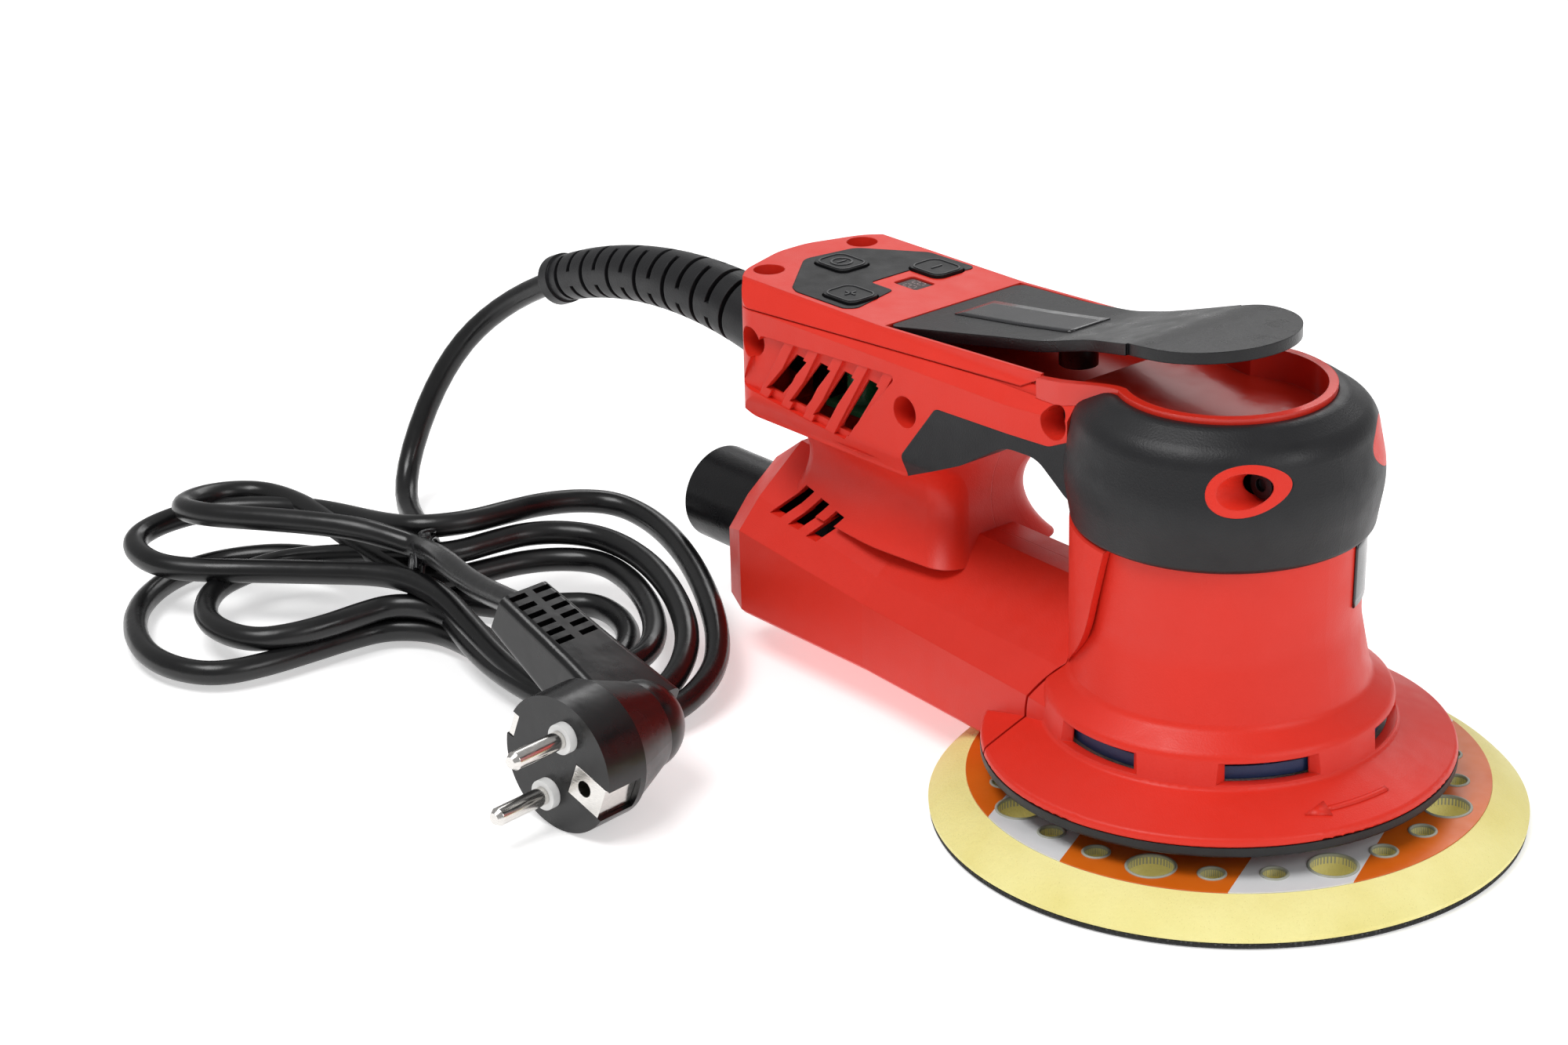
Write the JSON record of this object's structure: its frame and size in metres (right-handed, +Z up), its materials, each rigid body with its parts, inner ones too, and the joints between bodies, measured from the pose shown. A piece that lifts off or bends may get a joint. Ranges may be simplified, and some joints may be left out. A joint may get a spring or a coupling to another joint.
{
  "type": "random orbital sander",
  "caption": "Electric random orbital sander with a round multi-hole pad, a paddle lever, a dust outlet and a mains cord with a plug.",
  "frame": {"origin": "where the motor axis meets the plane of the sanding face", "axes": "+Z up along the motor axis, +X from the tail towards the head, +Y to the side away from the screw heads"},
  "size_m": [0.3873, 0.2383, 0.128],
  "materials": {
    "red_plastic": "satin red moulding with a fine texture",
    "red_gloss": "glossy red moulding",
    "black_rubber": "soft black grip rubber",
    "black_plastic": "black moulding with a fine texture",
    "panel": "dark printed panel",
    "window": "smoked display window",
    "pad_foam": "pale yellow polyurethane foam",
    "pad_label": "orange printed label with two white stripes",
    "hook": "black hook fastener",
    "nylon": "stiff moulded plate",
    "steel": "machined steel",
    "nickel": "nickel-plated brass",
    "aluminium": "turned aluminium",
    "fan_blue": "dark blue moulded fan",
    "lamination": "stacked steel laminations",
    "copper": "enamelled copper wire",
    "board": "green circuit board",
    "magnet": "nickel-plated magnet",
    "cord": "black cord sheath",
    "white_plastic": "white insulating collar"
  },
  "bodies": {
    "housing": {"motor_stator": "lamination", "stator_windings": "copper", "bearing_cap": "black_plastic", "lower_bearing": "steel", "upper_bearing": "steel", "motor_housing": "red_plastic", "seal_ring": "black_rubber", "head_dish": "red_gloss", "grip_left": "black_rubber", "grip_right": "black_rubber", "body_left": "red_plastic", "body_right": "red_plastic", "body_screws": "steel", "top_cover": "red_plastic", "cover_screws": "steel", "hose_connector": "black_plastic", "control_panel": "panel", "display_window": "window", "display_module": "white_plastic", "control_board": "board", "motor_controller": "board", "hall_sensor": "black_plastic", "lever_pin": "steel", "lever_spring": "steel", "cable_boot": "black_rubber", "cable_clamp": "black_plastic", "inner_cord": "cord", "cord_feed": "cord", "cord_tail": "cord", "cord_coil": "cord", "cord_tie": "black_plastic", "plug_body": "cord", "plug_pins": "nickel", "plug_collars": "white_plastic", "plug_earth": "nickel"},
    "drive": {"rotor": "lamination", "motor_shaft": "steel", "fan": "fan_blue", "eccentric_hub": "aluminium", "counterweight": "lamination", "spindle_bearing": "steel"},
    "pad": {"pad_hook": "hook", "pad_foam": "pad_foam", "pad_plate": "nylon", "pad_label": "pad_label", "pad_stud": "steel", "pad_spindle": "steel"},
    "paddle": {"lever": "black_plastic", "lever_magnet": "magnet"},
    "power": {"power_button": "panel"},
    "plus": {"plus_button": "panel"},
    "minus": {"minus_button": "panel"}
  },
  "joints": [
    {"name": "motor_spin", "type": "hinge", "parent": "housing", "child": "drive", "pos_m": [0, 0, 0.03], "axis": [0, 0, 1], "continuous": true},
    {"name": "pad_spin", "type": "hinge", "parent": "drive", "child": "pad", "pos_m": [0.00183, 0.0017, 0.018], "axis": [0, 0, 1], "continuous": true},
    {"name": "lever_press", "type": "hinge", "parent": "housing", "child": "paddle", "pos_m": [-0.09, 0, 0.1039], "axis": [0, 1, 0], "range_deg": [0, 4.5], "stiffness_Nm_per_rad": 1.2, "springref_deg": -8.59},
    {"name": "power_press", "type": "slide", "parent": "housing", "child": "power", "axis": [0, 0, -1], "range_m": [0, 0.0008], "stiffness_N_per_m": 900, "springref_m": -0.0004},
    {"name": "plus_press", "type": "slide", "parent": "housing", "child": "plus", "axis": [0, 0, -1], "range_m": [0, 0.0008], "stiffness_N_per_m": 900, "springref_m": -0.0004},
    {"name": "minus_press", "type": "slide", "parent": "housing", "child": "minus", "axis": [0, 0, -1], "range_m": [0, 0.0008], "stiffness_N_per_m": 900, "springref_m": -0.0004}
  ]
}
